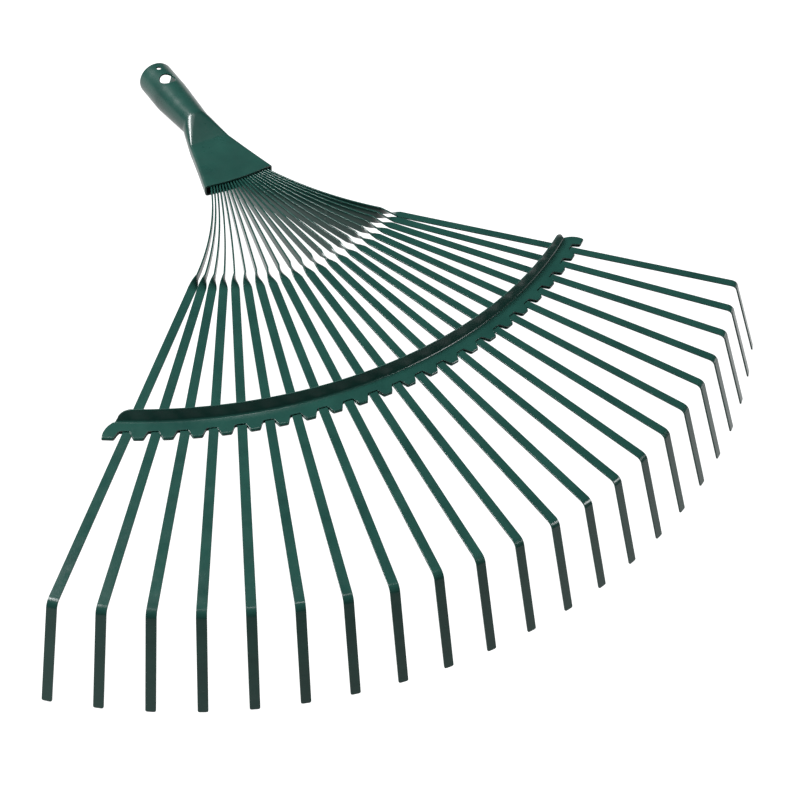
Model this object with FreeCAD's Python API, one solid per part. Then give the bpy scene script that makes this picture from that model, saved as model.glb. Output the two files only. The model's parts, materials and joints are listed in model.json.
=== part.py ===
import FreeCAD, Part
import math
import os

# Rake head without its handle: a fan of flat spring tines held in a clasp that is
# pressed out of one end of the handle socket, with a folded brace across the fan.
#
# Everything is first built in the head's own axes, in millimetres: the fan of tines
# lies in the plane z = 0, the tines enter the clasp's mouth at y = 0, the tines reach
# towards -Y and the socket towards +Y. At the end the whole head is tilted and moved
# to the way it rests on level ground.

# Tine strip
TINES = 22
STRIP_WIDTH = 5.2
STRIP_THICKNESS = 1.0
TIP_CORNER_RADIUS = 1.0

# Down-turned end of each tine
BEND_ARC_CENTRE_Y = 24.1
BEND_ARC_RADIUS = 335.0
BEND_PITCH = 3.95
BEND_ANGLE = 63.2
BEND_INNER_RADIUS = 4.0
LEG_LENGTH = 55.4

# Where the tines cross the brace
BRACE_CENTRE_Y = 102.0
NOTCH_ARC_RADIUS = 302.0
NOTCH_PITCH = 2.93

# Quarter twist between the upright root and the flat run
TWIST_ARC_CENTRE_Y = 51.0
TWIST_ARC_RADIUS = 132.0
TWIST_LENGTH = 13.0
TWIST_STEPS = 10

# Roots of the tines in the clasp
MOUTH_PITCH = 2.0
TAIL_LENGTH = 24.0
TAIL_GATHER = 0.77

# Rod through the tails
ROD_Y = 19.0
ROD_RADIUS = 1.0
ROD_HALF_LENGTH = 17.8
ROD_HOLE_RADIUS = 1.05

# Clasp: the flat front of the socket
SHEET = 1.2
CLASP_HALF_WIDTH = 24.4
CLASP_TAPER = 0.235
CLASP_HALF_HEIGHT = 3.85
CLASP_CORNER_RADIUS = 1.8
CLASP_FRONT_Y = 1.2
CLASP_FRONT_BOW = 2.0
CREASE_Y = 43.0
CREASE_TOP = 4.6

# Shoulder between the clasp and the neck
SHOULDER_STEPS = 6
SHOULDER_CLIMB_POWER = 1.1

# Round socket for the handle
SOCKET_AXIS_Z = 3.5
SOCKET_BORE_RADIUS = 11.0
NECK_RADIUS = 9.6
NECK_AXIS_Z = 5.2
NECK_Y = 62.0
ROUND_FLAT_ANGLE = 24.0
CONE_END_Y = 98.0
SOCKET_END_Y = 122.0
LARGE_HOLE_Y = 103.0
LARGE_HOLE_RADIUS = 5.5
NAIL_HOLE_Y = 116.0
NAIL_HOLE_RADIUS = 1.75

# Cross brace
BRACE_SHEET = 0.8
BRACE_HALF_ANGLE = 32.9
FLANGE_FOOT_RADIUS = 288.9
FLANGE_BEND_RADIUS = 1.5
FLANGE_LEAN = 22.0
FLANGE_LENGTH = 6.3
END_STRAIGHT = 1.5
END_DEPTH = 11.2
END_SETBACK = 7.0
FLANGE_END_SETBACK = 14.5
FLANGE_END_RADIUS = 9.0
FOLD_RADIUS = 298.0
LOWER_LIP_RADIUS = 288.0
NOTCH_DEPTH = 5.2
NOTCH_MOUTH_DEPTH = 1.4
NOTCH_INNER_WIDTH = 5.8
NOTCH_FLANK_WIDTH = 9.2
NOTCH_MOUTH_WIDTH = 11.6
NOTCH_CORNER_RADIUS = 0.9

# Extra length on cutting tools, so they pass right through
CLEAR = 2.0
BRACE_CUT_HEIGHT = 20.0

# Two points nearer than this are the same point
TOLERANCE = 1e-6

UP = FreeCAD.Vector(0, 0, 1)
ORIGIN = FreeCAD.Vector(0, 0, 0)


def vec(x, y, z=0.0):
    return FreeCAD.Vector(x, y, z)


def arc_point(centre_y, radius, degrees):
    """Point on an arc of the fan; 0 degrees is straight ahead, towards -Y."""
    angle = math.radians(degrees)
    return vec(radius * math.sin(angle), centre_y - radius * math.cos(angle))


def heading(direction):
    return math.atan2(direction.y, direction.x)


def arc_run(start, start_heading, end):
    """The arc that leaves start along start_heading and passes through end.

    Returns a function that gives the point and the left-hand normal at a fraction
    of the arc.
    """
    chord = end - start
    turn = 2 * (heading(chord) - start_heading)
    turn = math.remainder(turn, 2 * math.pi)
    radius = chord.Length / (2 * math.sin(turn / 2))

    def at(fraction):
        angle = start_heading + turn * fraction
        offset = vec(
            math.sin(angle) - math.sin(start_heading),
            math.cos(start_heading) - math.cos(angle),
        )
        return start + offset * radius, vec(-math.sin(angle), math.cos(angle))

    return at


def curved_strip(start, start_heading, end):
    """An upright strip that follows an arc in plan."""
    at = arc_run(start, start_heading, end)
    half = STRIP_THICKNESS / 2
    left = [point + normal * half for point, normal in map(at, (0, 0.5, 1))]
    right = [point - normal * half for point, normal in map(at, (1, 0.5, 0))]
    outline = Part.Wire([
        Part.Arc(*left).toShape(),
        Part.LineSegment(left[2], right[0]).toShape(),
        Part.Arc(*right).toShape(),
        Part.LineSegment(right[2], left[0]).toShape(),
    ])
    strip = Part.Face(outline).extrude(UP * STRIP_WIDTH)
    strip.translate(UP * (-STRIP_WIDTH / 2))
    return strip


def strip_section(centre, direction, degrees):
    """The strip's cross-section, turned about its own length.

    0 degrees stands on edge; at 90 degrees the edge that was on top faces -X.
    """
    sideways = vec(direction.y, -direction.x)
    angle = math.radians(degrees)
    along_width = UP * math.cos(angle) + sideways * math.sin(angle)
    along_thickness = direction.cross(along_width)
    w = along_width * (STRIP_WIDTH / 2)
    t = along_thickness * (STRIP_THICKNESS / 2)
    corners = [centre + w + t, centre + w - t, centre - w - t, centre - w + t]
    return Part.makePolygon(corners + corners[:1])


def twisted_strip(start, direction):
    sections = []
    for step in range(TWIST_STEPS + 1):
        part_way = step / TWIST_STEPS
        centre = start + direction * (TWIST_LENGTH * part_way)
        sections.append(strip_section(centre, direction, 90 * part_way))
    return Part.makeLoft(sections, True, False)


def side_arc(centre, radius, first_degrees, last_degrees):
    """An arc in the XZ plane, angles measured from +X towards +Z."""
    points = []
    for degrees in (first_degrees, (first_degrees + last_degrees) / 2, last_degrees):
        angle = math.radians(degrees)
        points.append(centre + vec(math.cos(angle), 0, math.sin(angle)) * radius)
    return Part.Arc(*points).toShape()


def join_edges(pieces):
    """A closed wire through arcs given as edges, with straight lines between them."""
    edges = []
    for index, piece in enumerate(pieces):
        edges.append(piece)
        begin = piece.valueAt(piece.LastParameter)
        following = pieces[(index + 1) % len(pieces)]
        end = following.valueAt(following.FirstParameter)
        if begin.distanceToPoint(end) > TOLERANCE:
            edges.append(Part.LineSegment(begin, end).toShape())
    return Part.Wire(edges)


def line(first, last):
    return Part.LineSegment(first, last).toShape()


def front_strip(start, corner):
    """The flat run, the bend and the down-turned leg, ending in a rounded tip."""
    half = STRIP_THICKNESS / 2
    outer_radius = BEND_INNER_RADIUS + STRIP_THICKNESS
    setback = (BEND_INNER_RADIUS + half) * math.tan(math.radians(BEND_ANGLE / 2))
    bend_x = (corner - start).Length - setback
    bend_centre = vec(bend_x, 0, -BEND_INNER_RADIUS - half)
    fall = math.radians(BEND_ANGLE)
    down = vec(math.cos(fall), 0, -math.sin(fall)) * (LEG_LENGTH - setback)
    outer_bend = side_arc(bend_centre, outer_radius, 90, 90 - BEND_ANGLE)
    inner_bend = side_arc(bend_centre, BEND_INNER_RADIUS, 90 - BEND_ANGLE, 90)
    outer_end = outer_bend.valueAt(outer_bend.LastParameter) + down
    inner_end = inner_bend.valueAt(inner_bend.FirstParameter) + down
    profile = join_edges([
        outer_bend,
        line(outer_end, inner_end),
        inner_bend,
        line(vec(0, 0, -half), vec(0, 0, half)),
    ])
    strip = Part.Face(profile).extrude(vec(0, STRIP_WIDTH, 0))
    strip.translate(vec(0, -STRIP_WIDTH / 2, 0))
    tip_middle = (outer_end + inner_end) / 2
    tip_corners = []
    for edge in strip.Edges:
        middle = edge.CenterOfMass
        beside_tip = abs(abs(middle.y) - STRIP_WIDTH / 2) < TOLERANCE
        level_with_tip = vec(middle.x, 0, middle.z).distanceToPoint(tip_middle) < TOLERANCE
        if beside_tip and level_with_tip:
            tip_corners.append(edge)
    strip = strip.makeFillet(TIP_CORNER_RADIUS, tip_corners)
    strip.rotate(ORIGIN, UP, math.degrees(heading(corner - start)))
    strip.translate(start)
    return strip


def twist_start(point, direction):
    """Where the tine's straight line, followed back to the clasp, meets the twist arc."""
    from_centre = point - vec(0, TWIST_ARC_CENTRE_Y)
    along = from_centre.dot(direction)
    square = along ** 2 - from_centre.dot(from_centre) + TWIST_ARC_RADIUS ** 2
    return point - direction * (along - math.sqrt(square))


def build_tine(place):
    """One tine; place counts from the middle of the fan, in half steps."""
    bend = arc_point(BEND_ARC_CENTRE_Y, BEND_ARC_RADIUS, place * BEND_PITCH)
    notch = arc_point(BRACE_CENTRE_Y, NOTCH_ARC_RADIUS, place * NOTCH_PITCH)
    outward = (bend - notch).normalize()
    upright_end = twist_start(notch, outward)
    flat_start = upright_end + outward * TWIST_LENGTH
    mouth = vec(place * MOUTH_PITCH, 0)
    tail_end = vec(mouth.x * TAIL_GATHER, TAIL_LENGTH)

    inward = heading(outward * -1)
    root = curved_strip(upright_end, inward, mouth)
    mouth_heading = 2 * heading(mouth - upright_end) - inward
    tail = curved_strip(mouth, mouth_heading, tail_end)
    rod_hole = Part.makeCylinder(
        ROD_HOLE_RADIUS,
        2 * CLASP_HALF_WIDTH,
        vec(-CLASP_HALF_WIDTH, ROD_Y),
        vec(1, 0),
    )
    tail = tail.cut(rod_hole)
    twist = twisted_strip(upright_end, outward)
    front = front_strip(flat_start, bend)
    return tail.multiFuse([root, twist, front])


def clasp_section(y, half_width, bottom, top, corner):
    """A rounded box section across the socket, as four corner arcs and four lines."""
    centres = [
        (half_width - corner, top - corner, 90),
        (half_width - corner, bottom + corner, 0),
        (corner - half_width, bottom + corner, -90),
        (corner - half_width, top - corner, -180),
    ]
    edges = []
    for x, z, first in centres:
        edges.append(side_arc(vec(x, y, z), corner, first, first - 90))
    return join_edges(edges)


def round_section(y, axis_z, radius):
    """A circle split into eight arcs that match the edges of a clasp section."""
    centre = vec(0, y, axis_z)
    half_flat = ROUND_FLAT_ANGLE / 2
    edges = []
    for first in (90, 0, -90, -180):
        edges.append(side_arc(centre, radius, first - half_flat, first - 90 + half_flat))
        edges.append(side_arc(centre, radius, first - 90 + half_flat, first - 90 - half_flat))
    return Part.Wire(edges)


def mix(first, second, part_way):
    return first + (second - first) * part_way


def shoulder_section(part_way, inset):
    """The section part of the way from the crease, at 0, to the neck, at 1."""
    y = mix(CREASE_Y, NECK_Y, part_way)
    climb = part_way ** SHOULDER_CLIMB_POWER
    return clasp_section(
        y,
        CLASP_HALF_WIDTH - CLASP_TAPER * y - inset,
        mix(-CLASP_HALF_HEIGHT, NECK_AXIS_Z - NECK_RADIUS, part_way) + inset,
        mix(CREASE_TOP, NECK_AXIS_Z + NECK_RADIUS, climb) - inset,
        mix(CLASP_CORNER_RADIUS, NECK_RADIUS, climb) - inset,
    )


def socket_body(inset, overrun):
    """The socket's solid form, drawn in by inset on every side.

    With an inset this is the space inside the sheet; overrun lengthens both ends.
    """
    front_y = CLASP_FRONT_Y - overrun
    mouth = clasp_section(
        front_y,
        CLASP_HALF_WIDTH - CLASP_TAPER * front_y - inset,
        -CLASP_HALF_HEIGHT + inset,
        CLASP_HALF_HEIGHT - inset,
        CLASP_CORNER_RADIUS - inset,
    )
    sections = [shoulder_section(step / SHOULDER_STEPS, inset) for step in range(SHOULDER_STEPS)]
    flat = Part.makeLoft([mouth, sections[0]], True, True)
    neck = round_section(NECK_Y, NECK_AXIS_Z, NECK_RADIUS - inset)
    shoulder = Part.makeLoft([*sections, neck], True, True)

    tube_radius = SOCKET_BORE_RADIUS + SHEET - inset
    tube = round_section(CONE_END_Y, SOCKET_AXIS_Z, tube_radius)
    cone = Part.makeLoft([neck, tube], True, True)
    straight = Part.makeCylinder(
        tube_radius,
        SOCKET_END_Y - CONE_END_Y + overrun,
        vec(0, CONE_END_Y, SOCKET_AXIS_Z),
        vec(0, 1),
    )
    return flat.multiFuse([shoulder, cone, straight])


def build_handle_socket():
    socket = socket_body(0.0, 0.0).cut(socket_body(SHEET, CLEAR))

    # The mouth's front edge is bowed, furthest forward in the middle.
    bow = (CLASP_HALF_WIDTH ** 2 + CLASP_FRONT_BOW ** 2) / (2 * CLASP_FRONT_BOW)
    middle = vec(0, CLASP_FRONT_Y + bow, -SOCKET_END_Y)
    bowed = Part.makeCylinder(bow, 2 * SOCKET_END_Y, middle, UP)
    socket = socket.common(bowed)

    # Two holes through the top wall take the fastenings of the handle.
    for y, radius in ((LARGE_HOLE_Y, LARGE_HOLE_RADIUS), (NAIL_HOLE_Y, NAIL_HOLE_RADIUS)):
        drill = Part.makeCylinder(
            radius, SOCKET_BORE_RADIUS + SHEET + CLEAR, vec(0, y, SOCKET_AXIS_Z), UP,
        )
        socket = socket.cut(drill)
    return socket


def plate_top():
    """Height of the brace's upper sheet above the middle of the tines."""
    return STRIP_THICKNESS / 2 + BRACE_SHEET


def brace_profile():
    """The brace's folded section, with X as the distance from the fan's centre."""
    half = STRIP_THICKNESS / 2
    bend_centre = vec(FLANGE_FOOT_RADIUS, 0, plate_top() + FLANGE_BEND_RADIUS)
    fold_centre = vec(FOLD_RADIUS, 0, 0)
    upright = 180 + FLANGE_LEAN
    rear_bend = side_arc(bend_centre, FLANGE_BEND_RADIUS + BRACE_SHEET, upright, 270)
    front_bend = side_arc(bend_centre, FLANGE_BEND_RADIUS, 270, upright)
    lean = math.radians(FLANGE_LEAN)
    flange = vec(-math.sin(lean), 0, math.cos(lean)) * FLANGE_LENGTH
    front_top = front_bend.valueAt(front_bend.LastParameter) + flange
    rear_top = rear_bend.valueAt(rear_bend.FirstParameter) + flange
    return join_edges([
        rear_bend,
        side_arc(fold_centre, half, 90, -90),
        line(vec(LOWER_LIP_RADIUS, 0, -half), vec(LOWER_LIP_RADIUS, 0, -plate_top())),
        side_arc(fold_centre, plate_top(), -90, 90),
        front_bend,
        line(front_top, rear_top),
    ])


def notch_tool(place):
    """The space cut from the folded edge where a tine passes out of it."""
    front = FOLD_RADIUS + plate_top()
    back = front - NOTCH_DEPTH
    flank = front - NOTCH_MOUTH_DEPTH
    steps = [
        (back, NOTCH_INNER_WIDTH),
        (flank, NOTCH_FLANK_WIDTH),
        (front, NOTCH_MOUTH_WIDTH),
        (front + CLEAR, NOTCH_MOUTH_WIDTH),
    ]
    bottom = -BRACE_CUT_HEIGHT / 2
    left = [vec(radius, width / 2, bottom) for radius, width in steps]
    right = [vec(radius, -width / 2, bottom) for radius, width in reversed(steps)]
    outline = Part.makePolygon(left + right + left[:1])
    tool = Part.Face(outline).extrude(UP * BRACE_CUT_HEIGHT)
    inner_corners = []
    for edge in tool.Edges:
        middle = edge.CenterOfMass
        at_back = abs(middle.x - back) < TOLERANCE
        at_side = abs(abs(middle.y) - NOTCH_INNER_WIDTH / 2) < TOLERANCE
        if at_back and at_side:
            inner_corners.append(edge)
    tool = tool.makeFillet(NOTCH_CORNER_RADIUS, inner_corners)
    tool.rotate(ORIGIN, UP, place * NOTCH_PITCH - 90)
    tool.translate(vec(0, BRACE_CENTRE_Y))
    return tool


def end_trim():
    """What is cut from one end of the brace to round its rear corner.

    The plate narrows along an arc behind the folded edge, and the flange's top corner
    is rounded down to the plate. X runs outwards along the brace's end, and Y away
    from the brace.
    """
    front = FOLD_RADIUS + plate_top() - END_STRAIGHT
    arc_radius = (END_DEPTH ** 2 + END_SETBACK ** 2) / (2 * END_SETBACK)
    centre = vec(front, -arc_radius)
    turn = math.asin(END_DEPTH / arc_radius)
    arc_points = []
    for angle in (0, turn / 2, turn):
        arc_points.append(centre + vec(-math.sin(angle), math.cos(angle)) * arc_radius)
    back = front - END_DEPTH - FLANGE_LENGTH
    corners = [arc_points[2], vec(back, -END_SETBACK), vec(back, CLEAR), vec(front, CLEAR), arc_points[0]]
    outline = Part.Wire([
        Part.Arc(*arc_points).toShape(),
        *[line(first, last) for first, last in zip(corners, corners[1:])],
    ])
    plate_tool = Part.Face(outline).extrude(UP * BRACE_CUT_HEIGHT)
    plate_tool.translate(UP * (-BRACE_CUT_HEIGHT / 2))

    lean = math.radians(FLANGE_LEAN)
    height = FLANGE_BEND_RADIUS * (1 - math.sin(lean)) + FLANGE_LENGTH * math.cos(lean)
    flange_run = FLANGE_FOOT_RADIUS - back
    block = Part.makeBox(
        flange_run,
        FLANGE_END_SETBACK + CLEAR,
        height + CLEAR,
        vec(back, -FLANGE_END_SETBACK, plate_top()),
    )
    kept = Part.makeCylinder(
        FLANGE_END_RADIUS,
        flange_run,
        vec(back, -FLANGE_END_SETBACK, plate_top() + height - FLANGE_END_RADIUS),
        vec(1, 0),
    )
    return plate_tool.fuse(block.cut(kept))


def build_cross_brace():
    section = Part.Face(brace_profile())
    section.rotate(ORIGIN, UP, -90 - BRACE_HALF_ANGLE)
    section.translate(vec(0, BRACE_CENTRE_Y))
    brace = section.revolve(vec(0, BRACE_CENTRE_Y), UP, 2 * BRACE_HALF_ANGLE)

    right_trim = end_trim()
    right_trim.rotate(ORIGIN, UP, BRACE_HALF_ANGLE - 90)
    right_trim.translate(vec(0, BRACE_CENTRE_Y))
    left_trim = right_trim.mirror(ORIGIN, vec(1, 0))
    notches = [notch_tool(place) for place in tine_places()]
    return brace.cut([right_trim, left_trim, *notches])


def build_retaining_rod():
    return Part.makeCylinder(
        ROD_RADIUS, 2 * ROD_HALF_LENGTH, vec(-ROD_HALF_LENGTH, ROD_Y), vec(1, 0),
    )


def tine_places():
    return [index - (TINES - 1) / 2 for index in range(TINES)]


def resting_tilt(tines):
    """Tilt about X at which the lowest tips and the socket's rear rim are level."""
    rim = vec(0, SOCKET_END_Y, SOCKET_AXIS_Z - SOCKET_BORE_RADIUS - SHEET)
    steepest = max(
        (rim.z - vertex.Z) / (rim.y - vertex.Y) for tine in tines for vertex in tine.Vertexes
    )
    return -math.degrees(math.atan(steepest))


nodes = {"handle_socket": build_handle_socket()}
for number, place in enumerate(tine_places(), start=1):
    nodes[f"tine_{number:02d}"] = build_tine(place)
nodes["cross_brace"] = build_cross_brace()
nodes["tine_retaining_rod"] = build_retaining_rod()

# Rest the head on the ground, with the origin on the ground under its middle.
tilt = resting_tilt([nodes["tine_01"], nodes[f"tine_{TINES}"]])
for shape in nodes.values():
    shape.rotate(ORIGIN, vec(1, 0), tilt)
extent = Part.makeCompound(list(nodes.values())).optimalBoundingBox(False)
middle_bottom = vec(extent.Center.x, extent.Center.y, extent.ZMin)
for shape in nodes.values():
    shape.translate(middle_bottom * -1)

os.makedirs("parts", exist_ok=True)
for name, shape in nodes.items():
    if not shape.isValid() or len(shape.Solids) != 1:
        raise ValueError(f"{name} is not one sound solid")
    shape.Solids[0].exportStep(f"parts/{name}.step")
print(len(nodes), "nodes, tilt", round(tilt, 6), "head origin moved by", middle_bottom * -1)
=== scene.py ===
import json
import math

import bmesh
import bpy
from mathutils import Matrix, Vector


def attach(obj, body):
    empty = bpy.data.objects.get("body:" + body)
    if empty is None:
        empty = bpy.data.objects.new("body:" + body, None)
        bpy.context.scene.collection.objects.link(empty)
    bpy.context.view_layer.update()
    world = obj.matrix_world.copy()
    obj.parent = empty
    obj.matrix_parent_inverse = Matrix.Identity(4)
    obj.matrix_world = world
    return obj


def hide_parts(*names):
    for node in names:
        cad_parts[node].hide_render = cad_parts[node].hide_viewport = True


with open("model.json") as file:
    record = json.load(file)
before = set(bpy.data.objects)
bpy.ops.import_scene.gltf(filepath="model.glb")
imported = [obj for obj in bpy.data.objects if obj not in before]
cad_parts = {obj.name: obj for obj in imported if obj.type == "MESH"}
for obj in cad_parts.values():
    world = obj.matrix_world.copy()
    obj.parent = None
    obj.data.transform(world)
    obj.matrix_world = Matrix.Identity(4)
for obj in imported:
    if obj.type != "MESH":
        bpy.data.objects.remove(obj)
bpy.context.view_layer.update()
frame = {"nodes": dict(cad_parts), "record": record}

# Sizes are in millimetres, in the rake head's own axes: the fan of tines lies in z = 0,
# the tines leave the clasp at y = 0 and the socket points towards +Y. The bore mount
# says where those axes are on the resting head.
MM = 0.001
BORE_MARK = Vector((0, 110, 3.5))
mounts = {mount["name"]: mount for mount in frame["record"]["mounts"]}
bore = mounts["handle_bore"]
tilt = math.atan2(bore["axis"][2], bore["axis"][1])
tilting = Matrix.Rotation(tilt, 4, "X")
TO_REST = (
    Matrix.Translation(Vector(bore["pos_m"]))
    @ tilting
    @ Matrix.Scale(MM, 4)
    @ Matrix.Translation(-BORE_MARK)
)
UP = Vector((0, 0, 1))

# Tines. Their bends, their notches in the brace and the starts of their twists each lie
# on an arc with its centre on the Y axis, and a pitch along an arc is in degrees.
TINES = 22
HALF_WIDTH = 2.6
HALF_THICK = 0.5
EDGE_ROUND = 0.22
TIP_ROUND = 1.0
TIP_THINNING = 0.14
TIP_THINNING_LENGTH = 0.35
BEND_CENTRE_Y = 24.1
BEND_ARC = 335.0
BEND_PITCH = 3.95
BEND_ANGLE = math.radians(63.2)
BEND_RADIUS = 4.5
LEG = 55.4
BRACE_CENTRE_Y = 102.0
NOTCH_ARC = 302.0
NOTCH_PITCH = 2.93
TWIST_CENTRE_Y = 51.0
TWIST_ARC = 132.0
TWIST_LENGTH = 13.0
MOUTH_PITCH = 2.0
TAIL_LENGTH = 24.0
TAIL_GATHER = 0.77

# Mesh steps along and round a tine
EDGE_STEPS = 3
TAIL_STEPS = 8
ROOT_STEPS = 26
TWIST_STEPS = 22
RUN_STEPS = 12
BEND_STEPS = 10
LEG_PLACES = (0.25, 0.5, 0.75, 0.92)
TIP_STEPS = 6

# Cross brace. Its radii start from its own centre on the Y axis, and its half angle is
# in degrees. Each pair for a notch is a depth from the closed end and the width there.
BRACE_SHEET = 0.8
BRACE_HALF_ANGLE = 32.9
FLANGE_FOOT_R = 288.9
FLANGE_BEND = 1.5
FLANGE_LEAN = math.radians(22)
FLANGE_LENGTH = 6.3
END_STRAIGHT = 1.5
END_DEPTH = 11.2
END_SETBACK = 7.0
FLANGE_END_SETBACK = 14.5
FLANGE_END_RADIUS = 9.0
FOLD_R = 298.0
LIP_R = 288.0
NOTCH_DEPTH = 5.2
NOTCH_WIDTHS = ((0.0, 5.8), (3.8, 9.2), (5.2, 11.6))
NOTCH_CORNER_WIDTH = 0.7
NOTCH_CORNER_DEPTH = 0.8
BRACE_RIM = 0.16
PLATE_TOP = HALF_THICK + BRACE_SHEET
BRACE_FRONT = FOLD_R + PLATE_TOP
NOTCH_BACK = BRACE_FRONT - NOTCH_DEPTH

# Mesh steps across the brace's section and along its arc
FLANGE_STEPS = 6
FLANGE_BEND_STEPS = 6
PLATE_STEPS = 4
TOOTH_DEPTHS = (0.35, 1.2, 2.4)
FOLD_STEPS = 8
TOOTH_COLUMNS = 8
NOTCH_COLUMNS = 4

# Handle socket and clasp
SOCKET_SHEET = 1.2
CLASP_HALF_WIDTH = 24.4
CLASP_TAPER = 0.235
CLASP_HALF_HEIGHT = 3.85
CLASP_CORNER = 1.8
CLASP_FRONT_Y = 1.2
CLASP_BOW = 2.0
BOW_END_Y = 30.0
CREASE_Y = 43.0
CREASE_TOP = 4.6
SHOULDER_CLIMB_POWER = 1.1
AXIS_Z = 3.5
TUBE_RADIUS = 12.2
NECK_RADIUS = 9.6
NECK_AXIS_Z = 5.2
NECK_Y = 62.0
CONE_END_Y = 98.0
SOCKET_END_Y = 122.0
SOCKET_RIM = 0.22

# The holes in the tube's top: centre y and radius, then the square patch of the tube's
# grid that holds each one: half its length, and its grid steps along a side
TUBE_HOLES = (
    (103.0, 5.5, 8.0, 12),
    (116.0, 1.75, 3.0, 6),
)

# Mesh steps along and round the socket. The middle of its top is at MIDDLE_COLUMN.
SHOULDER_STEPS = 6
CLASP_RINGS = 14
SHOULDER_RINGS = 3
CONE_RINGS = 12
PATCH_RINGS = 5
PATCH_EASING = 1.3
FLAT_STEPS = 4
CORNER_STEPS = 11
COLUMNS = 4 * (FLAT_STEPS + CORNER_STEPS)
COLUMN_ANGLE = 360 / COLUMNS
MIDDLE_COLUMN = -FLAT_STEPS // 2

# Edges sharper than this are softened
RIM_ANGLE = math.radians(50)

# Looks, with the floor's size in metres
COAT_DARK = (0.0035, 0.019, 0.0155)
COAT_LIGHT = (0.0055, 0.027, 0.0215)
COAT_SPECULAR = 0.25
COAT_PEEL = 0.15
STEEL_DARK = (0.32, 0.32, 0.31)
STEEL_LIGHT = (0.55, 0.55, 0.54)
TABLE_DARK = (0.045, 0.045, 0.045)
TABLE_LIGHT = (0.05, 0.05, 0.05)
TABLE_GLOW = 22.0
FLOOR_HALF_SIZE = 6.0
AIR_STRENGTH = 0.1

# The camera, in the head's own axes as well
CAMERA_PLACE = Vector((-277.1, -533.1, 487.1))
CAMERA_TARGET = Vector((-12.1, -203.0, 0.0))
CAMERA_ROLL = math.radians(7.04)
CAMERA_LENS = 53.1
CAMERA_SENSOR = 36.0


def smooth(low, high, value):
    """An eased step from 0 where value is low to 1 where it is high."""
    ratio = min(max((value - low) / (high - low), 0.0), 1.0)
    return ratio * ratio * (3 - 2 * ratio)


def mix(first, second, ratio):
    return first + (second - first) * ratio


def spread(first, last, steps):
    """Evenly spaced values from first to last."""
    return [mix(first, last, step / steps) for step in range(steps + 1)]


# ---------------------------------------------------------------- materials

def new_material(name):
    material = bpy.data.materials.new(name)
    material.use_nodes = True
    nodes = material.node_tree.nodes
    return material, nodes, material.node_tree.links, nodes["Principled BSDF"]


def noise(nodes, links, coords, scale, detail, roughness=0.5):
    node = nodes.new("ShaderNodeTexNoise")
    node.inputs["Scale"].default_value = scale
    node.inputs["Detail"].default_value = detail
    node.inputs["Roughness"].default_value = roughness
    links.new(coords.outputs["Object"], node.inputs["Vector"])
    return node


def ramp(nodes, links, source, stops):
    node = nodes.new("ShaderNodeValToRGB")
    for element, (place, colour) in zip(node.color_ramp.elements, stops):
        element.position = place
        element.color = (*colour, 1.0)
    links.new(source, node.inputs["Fac"])
    return node


def bump(nodes, links, height, distance):
    node = nodes.new("ShaderNodeBump")
    node.inputs["Strength"].default_value = COAT_PEEL
    node.inputs["Distance"].default_value = distance
    links.new(height.outputs["Fac"], node.inputs["Height"])
    return node


def powder_coat(name, rough_low, rough_high):
    """Gloss powder coat: faint mottling, orange peel and a few dulled patches."""
    material, nodes, links, shader = new_material(name)
    coords = nodes.new("ShaderNodeTexCoord")
    mottle = noise(nodes, links, coords, scale=45.0, detail=5.0, roughness=0.6)
    tint = ramp(nodes, links, mottle.outputs["Fac"], [(0.3, COAT_DARK), (0.7, COAT_LIGHT)])
    links.new(tint.outputs["Color"], shader.inputs["Base Color"])

    patches = noise(nodes, links, coords, scale=110.0, detail=6.0, roughness=0.65)
    dulling = nodes.new("ShaderNodeMapRange")
    dulling.inputs["From Min"].default_value = 0.3
    dulling.inputs["From Max"].default_value = 0.75
    dulling.inputs["To Min"].default_value = rough_low
    dulling.inputs["To Max"].default_value = rough_high
    links.new(patches.outputs["Fac"], dulling.inputs["Value"])
    links.new(dulling.outputs["Result"], shader.inputs["Roughness"])

    orange_peel = noise(nodes, links, coords, scale=900.0, detail=2.0)
    waves = noise(nodes, links, coords, scale=160.0, detail=3.0)
    fine = bump(nodes, links, orange_peel, distance=0.0001)
    broad = bump(nodes, links, waves, distance=0.0004)
    links.new(broad.outputs["Normal"], fine.inputs["Normal"])
    links.new(fine.outputs["Normal"], shader.inputs["Normal"])
    shader.inputs["Specular IOR Level"].default_value = COAT_SPECULAR
    return material


def drawn_steel(name):
    """Bare steel with fine lines along X, the way the rod was drawn."""
    material, nodes, links, shader = new_material(name)
    coords = nodes.new("ShaderNodeTexCoord")
    stretch = nodes.new("ShaderNodeMapping")
    stretch.inputs["Scale"].default_value = (20.0, 900.0, 900.0)
    links.new(coords.outputs["Object"], stretch.inputs["Vector"])
    lines = nodes.new("ShaderNodeTexNoise")
    lines.inputs["Scale"].default_value = 1.0
    links.new(stretch.outputs["Vector"], lines.inputs["Vector"])
    tone = ramp(nodes, links, lines.outputs["Fac"], [(0.3, STEEL_DARK), (0.7, STEEL_LIGHT)])
    links.new(tone.outputs["Color"], shader.inputs["Base Color"])
    shader.inputs["Metallic"].default_value = 1.0
    shader.inputs["Roughness"].default_value = 0.38
    return material


def light_table(name):
    """A pale product table, lit from within so that it shows almost no shadows."""
    material, nodes, links, shader = new_material(name)
    coords = nodes.new("ShaderNodeTexCoord")
    grain = noise(nodes, links, coords, scale=30.0, detail=4.0)
    tone = ramp(nodes, links, grain.outputs["Fac"], [(0.3, TABLE_DARK), (0.7, TABLE_LIGHT)])
    links.new(tone.outputs["Color"], shader.inputs["Base Color"])
    links.new(tone.outputs["Color"], shader.inputs["Emission Color"])
    shader.inputs["Emission Strength"].default_value = TABLE_GLOW
    shader.inputs["Roughness"].default_value = 0.85
    return material


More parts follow.
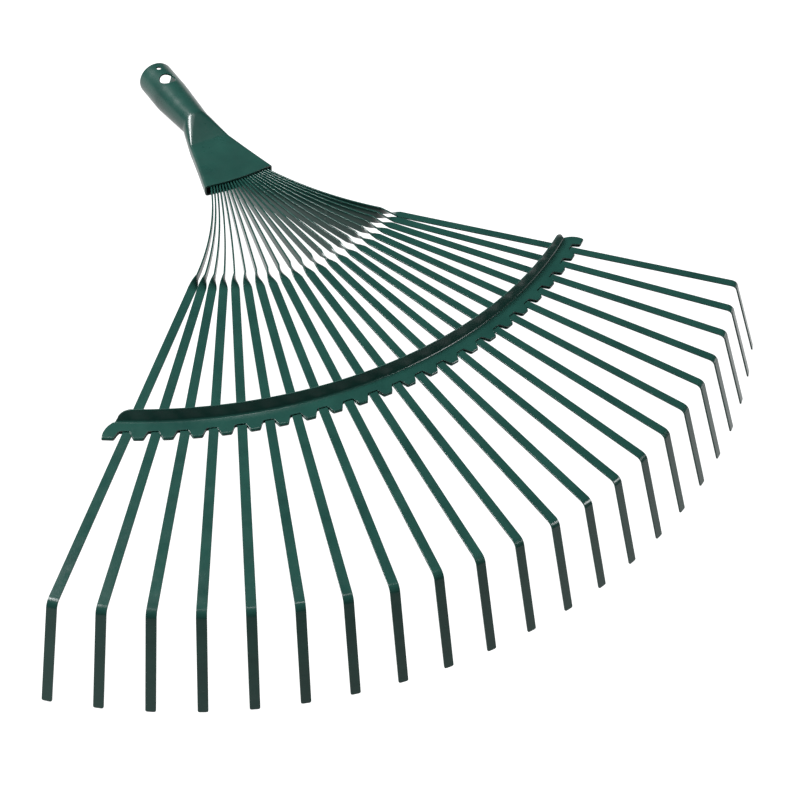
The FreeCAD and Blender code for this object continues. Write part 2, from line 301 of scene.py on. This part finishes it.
tine_coat = powder_coat("tine_powder_coat", rough_low=0.18, rough_high=0.3)
brace_coat = powder_coat("brace_powder_coat", rough_low=0.18, rough_high=0.28)
socket_coat = powder_coat("socket_powder_coat", rough_low=0.26, rough_high=0.38)
rod_steel = drawn_steel("drawn_rod_steel")


# ---------------------------------------------------------------- mesh helpers

def make_piece(name, points, faces, material):
    """A smooth-shaded mesh object from points in the head's own axes."""
    mesh = bpy.data.meshes.new(name)
    mesh.from_pydata([TO_REST @ point for point in points], [], faces)
    mesh.validate()
    work = bmesh.new()
    work.from_mesh(mesh)
    bmesh.ops.recalc_face_normals(work, faces=work.faces)
    work.to_mesh(mesh)
    work.free()
    mesh.materials.append(material)
    mesh.shade_smooth()
    piece = bpy.data.objects.new(name, mesh)
    bpy.context.scene.collection.objects.link(piece)
    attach(piece, "root")
    return piece


def add_weighted_normals(piece):
    """Keeps the broad faces evenly shaded next to their narrow rounded edges."""
    modifier = piece.modifiers.new("even_shading", "WEIGHTED_NORMAL")
    modifier.weight = 80
    modifier.keep_sharp = True


def add_wall(piece, name, thickness, offset):
    """Gives a surface its sheet's thickness: half each way at 0, all inwards at -1."""
    wall = piece.modifiers.new(name, "SOLIDIFY")
    wall.thickness = thickness * MM
    wall.offset = offset
    wall.use_even_offset = True


def soften_rims(piece, width):
    rims = piece.modifiers.new("rims", "BEVEL")
    rims.width = width * MM
    rims.segments = 2
    rims.limit_method = "ANGLE"
    rims.angle_limit = RIM_ANGLE


# ---------------------------------------------------------------- tines

def arc_point(centre_y, radius, degrees):
    angle = math.radians(degrees)
    return Vector((radius * math.sin(angle), centre_y - radius * math.cos(angle), 0))


def heading(direction):
    return math.atan2(direction.y, direction.x)


def arc_stations(start, start_heading, end, count):
    """Points and directions along the arc that leaves start and passes through end."""
    chord = end - start
    turn = math.remainder(2 * (heading(chord) - start_heading), 2 * math.pi)
    radius = chord.length / (2 * math.sin(turn / 2))
    stations = []
    for step in range(count + 1):
        angle = start_heading + turn * step / count
        point = start + radius * Vector((
            math.sin(angle) - math.sin(start_heading),
            math.cos(start_heading) - math.cos(angle),
            0,
        ))
        stations.append((point, Vector((math.cos(angle), math.sin(angle), 0))))
    return stations


def upright_stations(mouth, upright_end, outward):
    """The strip on its edge, from the tail's end through the clasp's mouth to the twist."""
    tail_end = Vector((mouth.x * TAIL_GATHER, TAIL_LENGTH, 0))
    root = arc_stations(upright_end, heading(-outward), mouth, ROOT_STEPS)
    tail = arc_stations(mouth, heading(root[-1][1]), tail_end, TAIL_STEPS)
    return [(point, -direction, UP) for point, direction in reversed(root + tail[1:])]


def twist_stations(start, outward, sideways):
    """The quarter turn from on edge to flat."""
    stations = []
    for step in range(1, TWIST_STEPS + 1):
        ratio = step / TWIST_STEPS
        angle = math.pi / 2 * ratio
        point = start + outward * (TWIST_LENGTH * ratio)
        stations.append((point, outward, UP * math.cos(angle) + sideways * math.sin(angle)))
    return stations


def bend_stations(start, outward, sideways):
    """The bend from the flat run down into the leg."""
    stations = []
    for step in range(1, BEND_STEPS + 1):
        angle = BEND_ANGLE * step / BEND_STEPS
        point = start + outward * (BEND_RADIUS * math.sin(angle))
        point = point - UP * (BEND_RADIUS * (1 - math.cos(angle)))
        direction = outward * math.cos(angle) - UP * math.sin(angle)
        stations.append((point, direction, sideways))
    return stations


def leg_stations(start, down, sideways, length):
    """The leg and its tip, which has rounded corners and a thinned end."""
    stations = []
    for place in LEG_PLACES:
        point = start + down * (length * place)
        stations.append((point, down, sideways, HALF_WIDTH, HALF_THICK))
    for step in range(TIP_STEPS + 1):
        angle = math.pi / 2 * step / TIP_STEPS
        back = TIP_ROUND * (1 - math.sin(angle))
        half_width = HALF_WIDTH - TIP_ROUND * (1 - math.cos(angle))
        half_thick = HALF_THICK - TIP_THINNING * smooth(TIP_THINNING_LENGTH, 0.0, back)
        point = start + down * (length - back)
        stations.append((point, down, sideways, half_width, half_thick))
    return stations


def tine_stations(place):
    """Stations from the tail in the clasp to the tip, for a tine counted from the middle.

    Each is a point, the strip's direction, its width's direction, and half its width and
    thickness.
    """
    bend = arc_point(BEND_CENTRE_Y, BEND_ARC, place * BEND_PITCH)
    notch = arc_point(BRACE_CENTRE_Y, NOTCH_ARC, place * NOTCH_PITCH)
    outward = (bend - notch).normalized()
    sideways = Vector((outward.y, -outward.x, 0))
    # The straight run goes back from the notch to the arc where the twists start.
    offset = notch - Vector((0, TWIST_CENTRE_Y, 0))
    along = offset.dot(outward)
    run_back = along - math.sqrt(along ** 2 - offset.length_squared + TWIST_ARC ** 2)
    upright_end = notch - outward * run_back
    flat_start = upright_end + outward * TWIST_LENGTH
    setback = BEND_RADIUS * math.tan(BEND_ANGLE / 2)
    bend_start = bend - outward * setback
    mouth = Vector((place * MOUTH_PITCH, 0, 0))

    stations = upright_stations(mouth, upright_end, outward)
    stations += twist_stations(upright_end, outward, sideways)
    for step in range(1, RUN_STEPS + 1):
        stations.append((flat_start.lerp(bend_start, step / RUN_STEPS), outward, sideways))
    stations += bend_stations(bend_start, outward, sideways)
    leg_start, down, _ = stations[-1]
    sized = [(*station, HALF_WIDTH, HALF_THICK) for station in stations]
    return sized + leg_stations(leg_start, down, sideways, LEG - setback)


def strip_ring(point, along, width_way, half_width, half_thick):
    """Points round the strip's section, with its long edges rounded."""
    thick_way = along.cross(width_way)
    ring = []
    for corner_w, corner_t, first in ((1, 1, 0), (-1, 1, 90), (-1, -1, 180), (1, -1, 270)):
        centre_w = corner_w * (half_width - EDGE_ROUND)
        centre_t = corner_t * (half_thick - EDGE_ROUND)
        for step in range(EDGE_STEPS + 1):
            angle = math.radians(first + 90 * step / EDGE_STEPS)
            w = centre_w + EDGE_ROUND * math.cos(angle)
            t = centre_t + EDGE_ROUND * math.sin(angle)
            ring.append(point + width_way * w + thick_way * t)
    return ring


def build_tine(number):
    place = number - 1 - (TINES - 1) / 2
    rings = [strip_ring(*station) for station in tine_stations(place)]
    size = len(rings[0])
    points = [point for ring in rings for point in ring]
    faces = [tuple(range(size)), tuple(range(len(points) - size, len(points)))]
    for first in range(0, len(points) - size, size):
        for column in range(size):
            near = first + column
            near_after = first + (column + 1) % size
            faces.append((near, near_after, near_after + size, near + size))
    node = f"tine_{number:02d}"
    piece = make_piece(f"tine_strip_{number:02d}", points, faces, tine_coat)
    add_weighted_normals(piece)
    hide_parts(node)


for tine_number in range(1, TINES + 1):
    build_tine(tine_number)


# ---------------------------------------------------------------- cross brace

def brace_rows():
    """The folded sheet's middle line: (radius, z, kind), from flange top to lower lip."""
    middle = BRACE_SHEET / 2
    plate_z = HALF_THICK + middle
    bend_r = FLANGE_BEND + middle

    def on_bend(angle):
        """Radius and height of the flange's bend, where the sheet has turned by angle."""
        radius = FLANGE_FOOT_R - bend_r * math.cos(angle)
        return radius, plate_z + bend_r * (1 - math.sin(angle))

    rows = []
    bend_radius, bend_z = on_bend(FLANGE_LEAN)
    for step in range(FLANGE_STEPS + 1):
        up = FLANGE_LENGTH * (1 - step / FLANGE_STEPS)
        radius = bend_radius - up * math.sin(FLANGE_LEAN)
        rows.append((radius, bend_z + up * math.cos(FLANGE_LEAN), "flange"))
    for angle in spread(FLANGE_LEAN, math.pi / 2, FLANGE_BEND_STEPS)[1:]:
        rows.append((*on_bend(angle), "plate"))
    for radius in spread(FLANGE_FOOT_R, NOTCH_BACK, PLATE_STEPS)[1:]:
        rows.append((radius, plate_z, "plate"))
    for depth in TOOTH_DEPTHS:
        rows.append((NOTCH_BACK + depth, plate_z, "tooth"))
    for degrees in spread(90, -90, FOLD_STEPS):
        angle = math.radians(degrees)
        rows.append((FOLD_R + plate_z * math.cos(angle), plate_z * math.sin(angle), "tooth"))
    for depth in reversed(TOOTH_DEPTHS):
        rows.append((NOTCH_BACK + depth, -plate_z, "tooth"))
    for radius in spread(NOTCH_BACK, LIP_R, PLATE_STEPS):
        rows.append((radius, -plate_z, "plate"))
    return rows


def notch_half_angle(radius):
    """Half the notch's width as an angle, at a distance from the brace's centre."""
    depth = max(radius - NOTCH_BACK, 0.0)
    width = NOTCH_WIDTHS[0][1]
    for (near, near_width), (far, far_width) in zip(NOTCH_WIDTHS, NOTCH_WIDTHS[1:]):
        if depth >= near:
            width = mix(near_width, far_width, min((depth - near) / (far - near), 1.0))
    width -= NOTCH_CORNER_WIDTH * smooth(NOTCH_CORNER_DEPTH, 0.0, depth)
    return math.degrees(width / 2 / radius)


def end_angle(radius, z):
    """Where the brace ends: its rear corner is rounded, and so is the flange's top."""
    front = BRACE_FRONT - END_STRAIGHT
    arc_radius = (END_DEPTH ** 2 + END_SETBACK ** 2) / (2 * END_SETBACK)
    behind = min(max(front - radius, 0.0), END_DEPTH)
    setback = arc_radius - math.sqrt(arc_radius ** 2 - behind ** 2)
    if z > PLATE_TOP:
        bend_height = FLANGE_BEND * (1 - math.sin(FLANGE_LEAN))
        height = bend_height + FLANGE_LENGTH * math.cos(FLANGE_LEAN)
        up = z - PLATE_TOP - height + FLANGE_END_RADIUS
        rounded = FLANGE_END_SETBACK - math.sqrt(max(FLANGE_END_RADIUS ** 2 - up ** 2, 0.0))
        setback = max(setback, rounded)
    return BRACE_HALF_ANGLE - math.degrees(setback / radius)


def brace_angles(radius, z):
    """Angles along one row of the brace, and whether a tooth follows each of them."""
    end = end_angle(radius, z)
    half_notch = notch_half_angle(radius)
    edges = [-BRACE_HALF_ANGLE]
    for index in range(TINES):
        notch = (index - (TINES - 1) / 2) * NOTCH_PITCH
        edges += [notch - half_notch, notch + half_notch]
    edges.append(BRACE_HALF_ANGLE)
    if radius < NOTCH_BACK:
        edges = [edge * end / BRACE_HALF_ANGLE for edge in edges]
    else:
        edges[0] = -end
        edges[-1] = end
    angles = []
    in_tooth = []
    for index, (first, last) in enumerate(zip(edges, edges[1:])):
        tooth = index % 2 == 0
        steps = TOOTH_COLUMNS if tooth else NOTCH_COLUMNS
        angles += spread(first, last, steps)[:-1]
        in_tooth += [tooth] * steps
    angles.append(edges[-1])
    return angles, in_tooth


def build_brace():
    points = []
    faces = []
    previous = None
    previous_kind = None
    for radius, z, kind in brace_rows():
        angles, in_tooth = brace_angles(radius, z)
        row = list(range(len(points), len(points) + len(angles)))
        points += [arc_point(BRACE_CENTRE_Y, radius, angle) + UP * z for angle in angles]
        for column, tooth in enumerate(in_tooth):
            after = column + 1
            open_notch = not tooth and "tooth" in (kind, previous_kind)
            if previous and not open_notch:
                faces.append((previous[column], previous[after], row[after], row[column]))
        previous = row
        previous_kind = kind
    used = sorted({index for face in faces for index in face})
    renumber = {old: new for new, old in enumerate(used)}
    points = [points[index] for index in used]
    faces = [tuple(renumber[index] for index in face) for face in faces]
    piece = make_piece("brace_sheet", points, faces, brace_coat)
    add_wall(piece, "sheet", BRACE_SHEET, 0.0)
    soften_rims(piece, BRACE_RIM)
    add_weighted_normals(piece)
    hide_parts("cross_brace")


build_brace()


# ---------------------------------------------------------------- handle socket

def box_ring(y, half_width, bottom, top, corner):
    """A rounded box across the socket, starting at the right end of its flat top."""
    corners = (
        (half_width - corner, top - corner, 90),
        (half_width - corner, bottom + corner, 0),
        (corner - half_width, bottom + corner, -90),
        (corner - half_width, top - corner, -180),
    )
    ring = []
    for index, (x, z, first) in enumerate(corners):
        for step in range(CORNER_STEPS):
            angle = math.radians(first - 90 * step / CORNER_STEPS)
            round_x = x + corner * math.cos(angle)
            ring.append(Vector((round_x, y, z + corner * math.sin(angle))))
        last = math.radians(first - 90)
        out_x = corner * math.cos(last)
        out_z = corner * math.sin(last)
        next_x, next_z, _ = corners[(index + 1) % 4]
        end = Vector((x + out_x, y, z + out_z))
        begin = Vector((next_x + out_x, y, next_z + out_z))
        for step in range(FLAT_STEPS):
            ring.append(end.lerp(begin, step / FLAT_STEPS))
    return ring


def tube_size(y):
    """Height of the round part's axis and its outer radius, from the neck to the end."""
    part_way = min((y - NECK_Y) / (CONE_END_Y - NECK_Y), 1.0)
    return mix(NECK_AXIS_Z, AXIS_Z, part_way), mix(NECK_RADIUS, TUBE_RADIUS, part_way)


def tube_point(y, angle):
    """A point on the round part; the angle runs from +X towards +Z."""
    axis_z, radius = tube_size(y)
    return Vector((radius * math.cos(angle), y, axis_z + radius * math.sin(angle)))


def round_ring(y):
    """A ring of the round part, with its columns in line with the box's."""
    ring = []
    for column in range(COLUMNS):
        degrees = 90 - (column - MIDDLE_COLUMN) * COLUMN_ANGLE
        ring.append(tube_point(y, math.radians(degrees)))
    return ring


def shoulder_ring(part_way):
    """The rounded box part of the way from the crease, at 0, to the neck, at 1."""
    y = mix(CREASE_Y, NECK_Y, part_way)
    climb = part_way ** SHOULDER_CLIMB_POWER
    return box_ring(
        y,
        CLASP_HALF_WIDTH - CLASP_TAPER * y,
        mix(-CLASP_HALF_HEIGHT, NECK_AXIS_Z - NECK_RADIUS, part_way),
        mix(CREASE_TOP, NECK_AXIS_Z + NECK_RADIUS, climb),
        mix(CLASP_CORNER, NECK_RADIUS, climb),
    )


def clasp_and_neck_rings():
    """Rings from the clasp's mouth to the neck, between the sections that shape it."""
    front_width = CLASP_HALF_WIDTH - CLASP_TAPER * CLASP_FRONT_Y
    keys = [box_ring(
        CLASP_FRONT_Y, front_width, -CLASP_HALF_HEIGHT, CLASP_HALF_HEIGHT, CLASP_CORNER,
    )]
    for step in range(SHOULDER_STEPS):
        keys.append(shoulder_ring(step / SHOULDER_STEPS))
    keys.append(round_ring(NECK_Y))
    rings = []
    for index, (near, far) in enumerate(zip(keys, keys[1:])):
        steps = CLASP_RINGS if index == 0 else SHOULDER_RINGS
        for step in range(steps):
            ring = [first.lerp(last, step / steps) for first, last in zip(near, far)]
            for point in ring:
                bow = CLASP_BOW * (point.x / front_width) ** 2
                point.y += bow * (1 - smooth(CLASP_FRONT_Y, BOW_END_Y, point.y))
            rings.append(ring)
    return rings


def beside_rim(point, hole_y, hole_radius):
    """A point's y and turn on the tube, and those of the hole's rim in line with it."""
    axis_z, radius = tube_size(point.y)
    turn = math.atan2(point.z - axis_z, point.x)
    across = (math.pi / 2 - turn) * radius
    length = math.hypot(across, point.y - hole_y)
    rim_y = hole_y + hole_radius * (point.y - hole_y) / length
    rim_turn = math.acos(hole_radius * across / length / tube_size(rim_y)[1])
    return (point.y, turn), (rim_y, rim_turn)


def tube_patch(points, faces, lines, first_row, first_column, count, hole):
    """Fills a square of the tube's grid with rings of faces round a drilled hole."""
    boundary = []
    row, column = first_row, first_column
    for row_step, column_step in ((0, 1), (1, 0), (0, -1), (-1, 0)):
        for _ in range(count):
            boundary.append(lines[row][column % COLUMNS])
            row += row_step
            column += column_step
    sides = [beside_rim(points[index], *hole) for index in boundary]
    previous = boundary
    for ring in range(1, PATCH_RINGS + 1):
        ratio = 1 - (1 - ring / PATCH_RINGS) ** PATCH_EASING
        current = []
        for (outer_y, outer_turn), (rim_y, rim_turn) in sides:
            current.append(len(points))
            turn = mix(outer_turn, rim_turn, ratio)
            points.append(tube_point(mix(outer_y, rim_y, ratio), turn))
        for step in range(len(boundary)):
            after = (step + 1) % len(boundary)
            faces.append((previous[step], previous[after], current[after], current[step]))
        previous = current


def build_socket():
    rings = clasp_and_neck_rings()
    first_hole_y, _, first_half_length, _ = TUBE_HOLES[0]
    for y in spread(NECK_Y, first_hole_y - first_half_length, CONE_RINGS)[:-1]:
        rings.append(round_ring(y))
    patches = []
    for hole_y, hole_radius, half_length, count in TUBE_HOLES:
        first_column = MIDDLE_COLUMN - count // 2
        patches.append((len(rings), first_column, count, (hole_y, hole_radius)))
        patch_end = hole_y + half_length
        for y in spread(hole_y - half_length, patch_end, count):
            rings.append(round_ring(y))
    for y in spread(patch_end, SOCKET_END_Y, 2)[1:]:
        rings.append(round_ring(y))

    points = []
    lines = []
    for ring in rings:
        lines.append(list(range(len(points), len(points) + COLUMNS)))
        points += ring
    skipped = set()
    for first_row, first_column, count, _ in patches:
        for row in range(first_row, first_row + count):
            for column in range(first_column, first_column + count):
                skipped.add((row, column % COLUMNS))
    faces = []
    for row, (line, next_line) in enumerate(zip(lines, lines[1:])):
        for column in range(COLUMNS):
            after = (column + 1) % COLUMNS
            if (row, column) not in skipped:
                faces.append((line[column], line[after], next_line[after], next_line[column]))
    for patch in patches:
        tube_patch(points, faces, lines, *patch)
    piece = make_piece("socket_shell", points, faces, socket_coat)
    add_wall(piece, "wall", SOCKET_SHEET, -1.0)
    soften_rims(piece, SOCKET_RIM)
    add_weighted_normals(piece)
    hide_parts("handle_socket")


build_socket()

frame["nodes"]["tine_retaining_rod"].material_slots[0].material = rod_steel


# ---------------------------------------------------------------- studio

def area_light(name, direction, distance, size, size_y, power):
    """A softbox that faces the frame's origin from a direction, with lengths in metres."""
    lamp = bpy.data.lights.new(name, "AREA")
    lamp.shape = "RECTANGLE"
    lamp.size = size
    lamp.size_y = size_y
    lamp.energy = power
    light = bpy.data.objects.new(name, lamp)
    place = Vector(direction).normalized() * distance
    light.location = place
    light.rotation_euler = (-place).to_track_quat("-Z", "Y").to_euler()
    bpy.context.scene.collection.objects.link(light)


def build_studio():
    floor_mesh = bpy.data.meshes.new("studio_floor")
    work = bmesh.new()
    bmesh.ops.create_grid(work, x_segments=8, y_segments=8, size=FLOOR_HALF_SIZE)
    work.to_mesh(floor_mesh)
    work.free()
    floor_mesh.materials.append(light_table("pale_table"))
    floor = bpy.data.objects.new("studio_floor", floor_mesh)
    bpy.context.scene.collection.objects.link(floor)

    world = bpy.data.worlds.new("studio_air")
    world.use_nodes = True
    background = world.node_tree.nodes["Background"]
    background.inputs["Color"].default_value = (1.0, 1.0, 1.0, 1.0)
    background.inputs["Strength"].default_value = AIR_STRENGTH
    bpy.context.scene.world = world
    bpy.context.scene.view_settings.view_transform = "Standard"

    area_light(
        "rear_left_softbox", direction=(-0.4, 0.46, 0.79),
        distance=1.8, size=0.7, size_y=0.7, power=115.0,
    )
    area_light(
        "overhead_light", direction=(0.1, 0.17, 0.98),
        distance=1.8, size=0.25, size_y=0.25, power=5.0,
    )
    area_light(
        "front_right_softbox", direction=(0.56, -0.53, 0.64),
        distance=1.6, size=0.4, size_y=0.4, power=14.0,
    )
    area_light(
        "right_softbox", direction=(0.95, -0.28, 0.1),
        distance=1.6, size=0.7, size_y=0.3, power=3.0,
    )


def build_camera():
    lens = bpy.data.cameras.new("camera")
    lens.sensor_width = CAMERA_SENSOR
    lens.lens = CAMERA_LENS
    lens.clip_start = 0.01
    camera = bpy.data.objects.new("camera", lens)
    ahead = (CAMERA_TARGET - CAMERA_PLACE).normalized()
    level = ahead.cross(UP).normalized()
    above_level = level.cross(ahead)
    right = level * math.cos(CAMERA_ROLL) + above_level * math.sin(CAMERA_ROLL)
    above = right.cross(ahead)
    facing = Matrix((right, above, -ahead)).transposed().to_4x4()
    camera.matrix_world = Matrix.Translation(TO_REST @ CAMERA_PLACE) @ tilting @ facing
    bpy.context.scene.collection.objects.link(camera)
    bpy.context.scene.camera = camera


build_studio()
build_camera()
